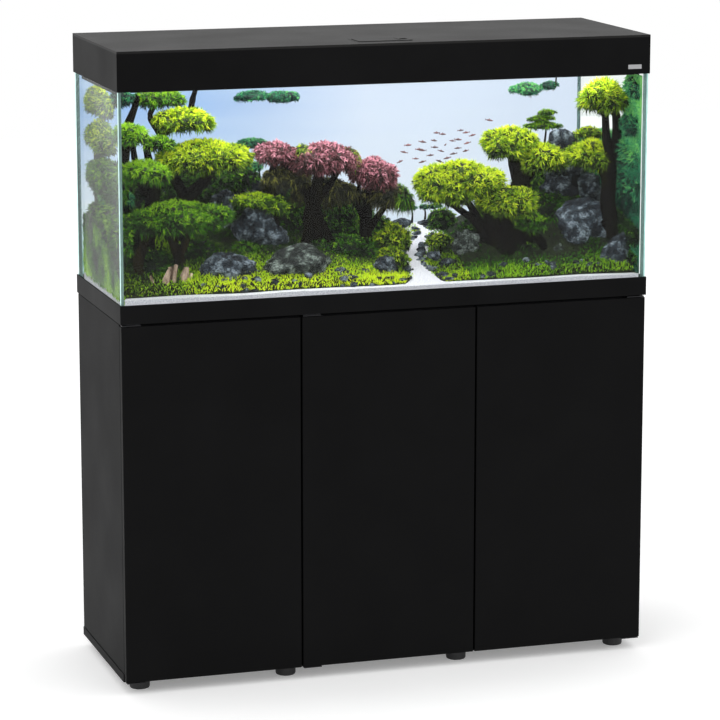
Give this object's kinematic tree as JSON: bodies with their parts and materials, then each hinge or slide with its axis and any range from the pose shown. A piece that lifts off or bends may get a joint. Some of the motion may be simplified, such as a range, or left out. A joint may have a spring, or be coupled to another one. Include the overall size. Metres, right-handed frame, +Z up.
{
  "type": "aquarium on stand",
  "caption": "Rectangular planted glass aquarium with a lift-off black lid and feeding hatch, on a base frame over a black cabinet with hinged doors and round feet.",
  "frame": {"origin": "on the floor under the middle of the part", "axes": "+X to the right along the front, +Y to the back, +Z up; the doors face -Y"},
  "size_m": [1.21, 0.42, 1.4102],
  "materials": {
    "foot_plastic": "moulded dark grey",
    "cabinet_board": "matt black melamine board",
    "back_board": "thin black fibreboard",
    "door_board": "satin black door fronts",
    "beech": "plain beech dowel",
    "steel": "zinc plated",
    "nylon": "natural nylon",
    "latch_plastic": "moulded dark grey",
    "mat_foam": "fine foam underlay",
    "frame_plastic": "black moulded frame",
    "clear_glass": "polished float glass, pale green edges",
    "silicone": "smooth silicone",
    "film": "pale blue backdrop",
    "equipment": "black equipment plastic",
    "heater_glass": "dark heater glass",
    "suction": "soft rubber",
    "sand": "fine pale sand",
    "soil": "planted soil",
    "rock": "blue-grey seiryu-like stone",
    "driftwood": "dark waterlogged wood",
    "moss": "soft yellow-green moss",
    "red_plant": "pink-red stem plant",
    "lid_plastic": "black lid walls",
    "lid_top": "satin dark grey top",
    "badge": "plain light badge",
    "led": "milky tube"
  },
  "bodies": {
    "cabinet_and_tank": {"feet": "foot_plastic", "bottom_panel": "cabinet_board", "top_panel": "cabinet_board", "left_side_panel": "cabinet_board", "right_side_panel": "cabinet_board", "left_divider": "cabinet_board", "right_divider": "cabinet_board", "back_panel": "back_board", "shelves": "cabinet_board", "shelf_pins": "steel", "wood_dowels": "beech", "hinge_brackets": "steel", "hinge_pins": "steel", "latch_housings": "latch_plastic", "underlay_mat": "mat_foam", "base_frame_front": "frame_plastic", "base_frame_rear": "frame_plastic", "base_frame_sides": "frame_plastic", "glass_front": "clear_glass", "glass_back": "clear_glass", "glass_left": "clear_glass", "glass_right": "clear_glass", "glass_bottom": "clear_glass", "silicone_seams": "silicone", "background_film": "film", "heater_tube": "heater_glass", "filter_body": "equipment", "suction_cups": "suction", "sand_bed": "sand", "planted_slopes": "soil", "rocks": "rock", "driftwood": "driftwood", "moss_canopies": "moss", "red_bush": "red_plant"},
    "left_door": {"left_door_panel": "door_board", "left_door_bushes": "nylon", "left_latch_strike": "steel"},
    "left_plunger": {"left_latch_plunger": "nylon"},
    "middle_door": {"middle_door_panel": "door_board", "middle_door_bushes": "nylon", "middle_latch_strike": "steel"},
    "middle_plunger": {"middle_latch_plunger": "nylon"},
    "right_door": {"right_door_panel": "door_board", "right_door_bushes": "nylon", "right_latch_strike": "steel"},
    "right_plunger": {"right_latch_plunger": "nylon"},
    "lid": {"lid_front_wall": "lid_plastic", "lid_rear_wall": "lid_plastic", "lid_side_walls": "lid_plastic", "lid_top_panel": "lid_top", "lid_locators": "lid_plastic", "lid_badge": "badge", "led_sockets": "lid_plastic", "hatch_rim": "lid_plastic", "hatch_pin": "steel"},
    "front_led": {"led_tube_front": "led"},
    "rear_led": {"led_tube_rear": "led"},
    "feeding_hatch": {"hatch_flap": "lid_top"},
    "heater_dial": {"heater_knob": "equipment"},
    "filter_outlet": {"filter_nozzle": "equipment"}
  },
  "joints": [
    {"name": "left_door_hinge", "type": "hinge", "parent": "cabinet_and_tank", "child": "left_door", "pos_m": [-0.595, -0.202, 0.424], "axis": [0, 0, -1], "range_deg": [0, 100]},
    {"name": "middle_door_hinge", "type": "hinge", "parent": "cabinet_and_tank", "child": "middle_door", "pos_m": [-0.19167, -0.202, 0.424], "axis": [0, 0, -1], "range_deg": [0, 100]},
    {"name": "right_door_hinge", "type": "hinge", "parent": "cabinet_and_tank", "child": "right_door", "pos_m": [0.595, -0.202, 0.424], "axis": [0, 0, 1], "range_deg": [0, 100]},
    {"name": "left_plunger_slide", "type": "slide", "parent": "cabinet_and_tank", "child": "left_plunger", "axis": [0, -1, 0], "range_m": [0, 0.014]},
    {"name": "middle_plunger_slide", "type": "slide", "parent": "cabinet_and_tank", "child": "middle_plunger", "axis": [0, -1, 0], "range_m": [0, 0.014]},
    {"name": "right_plunger_slide", "type": "slide", "parent": "cabinet_and_tank", "child": "right_plunger", "axis": [0, -1, 0], "range_m": [0, 0.014]},
    {"name": "lid_lift", "type": "slide", "parent": "cabinet_and_tank", "child": "lid", "axis": [0, 0, 1], "range_m": [0, 0.25]},
    {"name": "feeding_hatch_hinge", "type": "hinge", "parent": "lid", "child": "feeding_hatch", "pos_m": [-0.0608, -0.14, 1.4065], "axis": [0, -1, 0], "range_deg": [0, 100]},
    {"name": "front_led_turn", "type": "hinge", "parent": "lid", "child": "front_led", "pos_m": [0, -0.07, 1.369], "axis": [1, 0, 0], "range_deg": [-45, 45]},
    {"name": "rear_led_turn", "type": "hinge", "parent": "lid", "child": "rear_led", "pos_m": [0, 0.07, 1.369], "axis": [1, 0, 0], "range_deg": [-45, 45]},
    {"name": "heater_dial_turn", "type": "hinge", "parent": "cabinet_and_tank", "child": "heater_dial", "pos_m": [-0.56, 0.163, 1.155], "axis": [0, 0, 1], "range_deg": [0, 270]},
    {"name": "filter_outlet_turn", "type": "hinge", "parent": "cabinet_and_tank", "child": "filter_outlet", "pos_m": [0.54, 0.15, 1.1], "axis": [0, 0, 1], "range_deg": [-60, 60]}
  ],
  "couplings": [
    {"joint": "left_plunger_slide", "follows": "left_door_hinge", "m_per_rad": 0.008},
    {"joint": "middle_plunger_slide", "follows": "middle_door_hinge", "m_per_rad": 0.008},
    {"joint": "right_plunger_slide", "follows": "right_door_hinge", "m_per_rad": 0.008}
  ]
}
